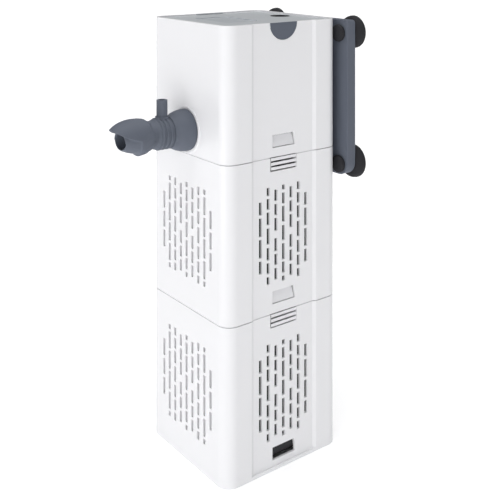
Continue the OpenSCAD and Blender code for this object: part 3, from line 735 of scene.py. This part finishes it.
def settle(piece: bpy.types.Object) -> bpy.types.Mesh:
    """Works out a loose object's modifiers, removes the object and returns the finished mesh."""
    graph = bpy.context.evaluated_depsgraph_get()
    mesh = bpy.data.meshes.new_from_object(piece.evaluated_get(graph))
    mesh.name = piece.name
    old = piece.data
    bpy.data.objects.remove(piece)
    bpy.data.meshes.remove(old)
    return mesh


def coordinates(mesh: bpy.types.Mesh) -> np.ndarray:
    """The places of a mesh's vertices, one row each."""
    flat = np.empty(len(mesh.vertices) * 3)
    mesh.vertices.foreach_get("co", flat)
    return flat.reshape(-1, 3)


def put_coordinates(mesh: bpy.types.Mesh, places: np.ndarray) -> None:
    """Moves a mesh's vertices to new places."""
    mesh.vertices.foreach_set("co", places.reshape(-1))
    mesh.update()


@dataclass(frozen=True)
class Sponge:
    """A foam block that swells gently against its box.

    Attributes:
        node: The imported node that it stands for.
        body: The body that it rides on.
        voxel: Mesh size of the foam's skin, in metres.
        inset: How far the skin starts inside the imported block, in metres.
        swell: The farthest that the skin may move, in metres.
        bore: Radius that is kept clear round the core tube, in metres.
        pressure: Pressure inside the skin while it swells.
        ticks: Frames that it swells for.
        latch_heights: Lowest and highest places of the latches beside it, in metres.
        latch_room: How far out the skin may come there, and half the width of that room, in metres.
    """

    node: str
    body: str
    voxel: float = 4.2 * MM
    inset: float = 0.9 * MM
    swell: float = 0.8 * MM
    bore: float = 13.4 * MM
    pressure: float = 4.0
    ticks: int = 20
    latch_heights: tuple[tuple[float, float], ...] = ()
    latch_room: tuple[float, float] = (36.2 * MM, 13.0 * MM)

    def build(self) -> bpy.types.Object:
        """Makes the foam block."""
        loose = world_copy(self.node, self.node + "_foam")
        remesh = loose.modifiers.new("skin", "REMESH")
        remesh.mode = "VOXEL"
        remesh.voxel_size = self.voxel
        shrink = loose.modifiers.new("inset", "DISPLACE")
        shrink.mid_level = 0.0
        shrink.strength = -self.inset
        mesh = settle(loose)
        start = coordinates(mesh)
        moved = self._swollen(mesh)
        step = moved - start
        far = np.linalg.norm(step, axis=1, keepdims=True)
        start = start + step * np.minimum(1.0, self.swell / np.maximum(far, 1e-9))
        put_coordinates(mesh, self._kept_clear(start))
        loose = bpy.data.objects.new(self.node + "_foam", mesh)
        bpy.context.scene.collection.objects.link(loose)
        finer = loose.modifiers.new("finer", "SUBSURF")
        finer.levels = finer.render_levels = 1
        mesh = settle(loose)
        put_coordinates(mesh, self._kept_clear(coordinates(mesh)))
        made = add_piece(self.node + "_foam", mesh, Finish.SPONGE, self.body, self.node)
        return made

    def _swollen(self, mesh: bpy.types.Mesh) -> np.ndarray:
        """Lets the skin swell as cloth under pressure and returns where its vertices end."""
        trial = bpy.data.objects.new("trial", mesh.copy())
        bpy.context.scene.collection.objects.link(trial)
        cloth = trial.modifiers.new("cloth", "CLOTH")
        cloth.settings.use_pressure = True
        cloth.settings.uniform_pressure_force = self.pressure
        cloth.settings.effector_weights.gravity = 0.0
        cloth.point_cache.frame_start, cloth.point_cache.frame_end = 1, self.ticks
        scene = bpy.context.scene
        for tick in range(1, self.ticks + 1):
            scene.frame_set(tick)
        moved = coordinates(settle(trial))
        scene.frame_set(1)
        return moved

    def _kept_clear(self, places: np.ndarray) -> np.ndarray:
        """Keeps the skin clear of the core tube and of pressed latches."""
        kept = places.copy()
        far = np.hypot(kept[:, 0], kept[:, 1])
        near = (far < self.bore) & (far > 1e-6)
        kept[near, :2] *= (self.bore / far[near])[:, None]
        for low, high in self.latch_heights:
            beside = (kept[:, 2] > low) & (kept[:, 2] < high) & (np.abs(kept[:, 1]) < self.latch_room[1])
            kept[beside, 0] = np.clip(kept[beside, 0], -self.latch_room[0], self.latch_room[0])
        return kept


@dataclass(frozen=True)
class SuctionCup:
    """A rubber cup with its neck through the plate and its knob in front.

    Attributes:
        side: 1 at +X, -1 at -X.
        top: Whether it is one of the upper two.
        centre_x: Distance of its axis from the middle, in millimetres.
        heights: Heights of the lower and the upper axes, in millimetres.
        face_y: Where the plate's front lies, in millimetres.
    """

    side: int
    top: bool
    centre_x: float = 42.8
    heights: tuple[float, float] = (189.8, 280.4)
    face_y: float = 51.0

    SHAPE: ClassVar[Turned] = Turned((
        (0, -3.3, 0), (3.2, -3.25, 2.0), (5.6, -2.6, 1.6), (6.05, -1.3, 0.8), (5.6, -0.12, 0.5),
        (3.5, -0.12, 0.0), (3.5, 7.62, 0.0), (6.4, 7.62, 0.5), (8.3, 8.0, 1.2), (10.0, 9.2, 1.6),
        (11.1, 11.0, 1.8), (11.38, 13.0, 1.4), (11.36, 14.1, 0.5), (11.1, 14.49, 0.3), (10.3, 14.49, 0.3),
        (9.6, 13.2, 1.2), (7.5, 12.0, 1.6), (4.5, 11.5, 1.6), (0, 11.3, 0)), sides=80)

    def build(self) -> bpy.types.Object:
        """Makes the cup."""
        name = f"suction_cup_{'top' if self.top else 'bottom'}_{'right' if self.side > 0 else 'left'}"
        dress(name, Finish.RUBBER)
        origin = Vector((self.side * self.centre_x, self.face_y, self.heights[self.top])) * MM
        mesh = self.SHAPE.mesh(name + "_moulded", origin, Vector((0, 1, 0)))
        return add_piece(name + "_moulded", mesh, Finish.RUBBER, "bracket", name)


@dataclass(frozen=True)
class Nozzle:
    """The hooded nozzle, with the soft edges of a moulding.

    Attributes:
        voxel: Mesh size, in metres.
        rounds: How many times its edges are smoothed.
        bore: Radius kept clear for the arm's nose, in metres.
        socket_end: How far from the front face the socket ends, in metres.
        axis_z: Height of the outlet's axis, in metres.
        front_y: Where the front face lies, in metres.
    """

    voxel: float = 0.42 * MM
    rounds: int = 6
    bore: float = 7.66 * MM
    socket_end: float = 39.1 * MM
    axis_z: float = 219.0 * MM
    front_y: float = -47.5 * MM

    def build(self) -> bpy.types.Object:
        """Makes the nozzle."""
        loose = world_copy("outlet_nozzle", "outlet_nozzle_moulded")
        box = coordinates(loose.data)
        low, high = box.min(axis=0), box.max(axis=0)
        remesh = loose.modifiers.new("skin", "REMESH")
        remesh.mode = "VOXEL"
        remesh.voxel_size = self.voxel
        smooth = loose.modifiers.new("edges", "SMOOTH")
        smooth.factor, smooth.iterations = 0.5, self.rounds
        mesh = settle(loose)
        places = np.clip(coordinates(mesh), low, high)
        rise, across = places[:, 2] - self.axis_z, places[:, 0]
        far = np.hypot(across, rise)
        inside = (far < self.bore) & (self.front_y - places[:, 1] < self.socket_end)
        grow = np.where(inside, self.bore / np.maximum(far, 1e-6), 1.0)
        places[:, 0] = across * grow
        places[:, 2] = self.axis_z + rise * grow
        put_coordinates(mesh, places)
        return add_piece("outlet_nozzle_moulded", mesh, Finish.SLATE, "nozzle", "outlet_nozzle")


# ------------------------------------------------------------------ sub-assemblies


@dataclass(frozen=True)
class FilterBox:
    """One slotted box with its sponge, core tube and latches.

    Attributes:
        level: "lower" or "upper".
        latch_heights: Lowest and highest places of the latches beside its sponge, in metres.
    """

    level: str
    latch_heights: tuple[tuple[float, float], ...]

    def build(self) -> None:
        """Dresses the box and makes its sponge."""
        dress(self.level + "_shell", Finish.SHELL)
        round_edges(self.level + "_shell")
        dress(self.level + "_core_tube", Finish.CORE)
        dress(self.level + "_sponge", Finish.SPONGE)
        Sponge(self.level + "_sponge", self.level + "_box", latch_heights=self.latch_heights).build()
        for side in ("right", "left"):
            latch = f"{self.level}_latch_{side}"
            dress(latch, Finish.LATCH)
            round_edges(latch, 0.2 * MM)


@dataclass(frozen=True)
class PumpHead:
    """The head's casing with its inlet, chamber and side buttons.

    Attributes:
        edge: Rounding of the casing's edges, in metres.
        shoulder: Height above which a button stands beside the cover and its faces get the painted
            highlight, in metres.
    """

    edge: float = 0.3 * MM
    shoulder: float = 287.3 * MM

    def build(self) -> None:
        """Dresses the head's outer pieces and the wet side of the pump."""
        dress("head_casing", Finish.SHELL)
        round_edges("head_casing", self.edge)
        dress("intake_strainer", Finish.CORE)
        for node in ("intake_cover", "pump_chamber"):
            dress(node, Finish.SLATE)
        dress("chamber_seal", Finish.RUBBER)
        dress("impeller", Finish.IMPELLER)
        for side, way in (("right", 1), ("left", -1)):
            self._button("side_button_" + side, way)
            dress("button_spring_" + side, Finish.SPRING)

    def _button(self, node: str, way: int) -> None:
        """Dresses a side button whose top and back are painted the cover's light grey, a painted highlight
        on its lit top.

        Args:
            node: The button's node.
            way: 1 on the +X side, -1 on the -X side.
        """
        piece = dress(node, Finish.SLATE)
        piece.data.materials.append(Finish.COVER.value.material())
        level = piece.matrix_world.translation.z
        # Faces above the shoulder, except the outer side, get the light cover grey: a painted highlight on
        # the dark button's top.
        for face in piece.data.polygons:
            if face.center.z + level > self.shoulder and face.normal.x * way < 0.5:
                face.material_index = len(piece.data.materials) - 1


@dataclass(frozen=True)
class Motor:
    """The sealed motor, its rotor and what the shaft stands in."""

    def build(self) -> None:
        """Dresses the motor's pieces."""
        for node in ("motor_housing", "motor_lid"):
            dress(node, Finish.MOTOR)
            round_edges(node)
        dress("stator_core", Finish.LAMINATION)
        dress("stator_coils", Finish.COPPER)
        dress("motor_screws", Finish.SCREW)
        dress("rotor_shaft", Finish.CERAMIC)
        dress("rotor_magnet", Finish.FERRITE)
        for node in ("shaft_mount_bottom", "shaft_mount_top"):
            dress(node, Finish.RUBBER)


@dataclass(frozen=True)
class TopCover:
    """The light grey cover with its sunk panel and the cable gland.

    Attributes:
        edge: Rounding of the cover's and the gland's edges, in metres.
    """

    edge: float = 0.3 * MM

    def build(self) -> None:
        """Dresses the cover's pieces."""
        dress("top_cover", Finish.COVER)
        round_edges("top_cover", self.edge)
        dress("cover_inset", Finish.INSET)
        dress("cable_gland", Finish.RUBBER)
        round_edges("cable_gland", self.edge)


@dataclass(frozen=True)
class Outlet:
    """The collar, the ribbed arm with its air spigot, and the nozzle.

    Attributes:
        edge: Rounding of the arm's edges, in metres.
    """

    edge: float = 0.2 * MM

    def build(self) -> None:
        """Dresses the outlet and makes the nozzle."""
        for node in ("outlet_collar", "outlet_barrel", "outlet_nozzle"):
            dress(node, Finish.SLATE)
        round_edges("outlet_barrel", self.edge)
        dress("outlet_seal", Finish.RUBBER)
        Nozzle().build()


@dataclass(frozen=True)
class Bracket:
    """The hanging plate and its four suction cups.

    Attributes:
        edge: Rounding of the plate's edges, in metres.
    """

    edge: float = 0.45 * MM

    def build(self) -> None:
        """Dresses the plate and makes the cups."""
        dress("hanger_plate", Finish.SLATE)
        round_edges("hanger_plate", self.edge)
        for side in (1, -1):
            for top in (False, True):
                SuctionCup(side, top).build()


def main() -> None:
    """Builds the filter, sub-assembly by sub-assembly, and sets up the studio."""
    logging.basicConfig(level=logging.INFO, format="%(name)s: %(message)s")
    ViewCamera().build()
    Studio().build()
    parts = (FilterBox("lower", ((84 * MM, 102 * MM),)),
             FilterBox("upper", ((101 * MM, 119 * MM), (186 * MM, 204 * MM))),
             PumpHead(), Motor(), TopCover(), Outlet(), Bracket())
    for part in parts:
        part.build()
        log.info("%s done", part)


if __name__ == "__main__":
    main()
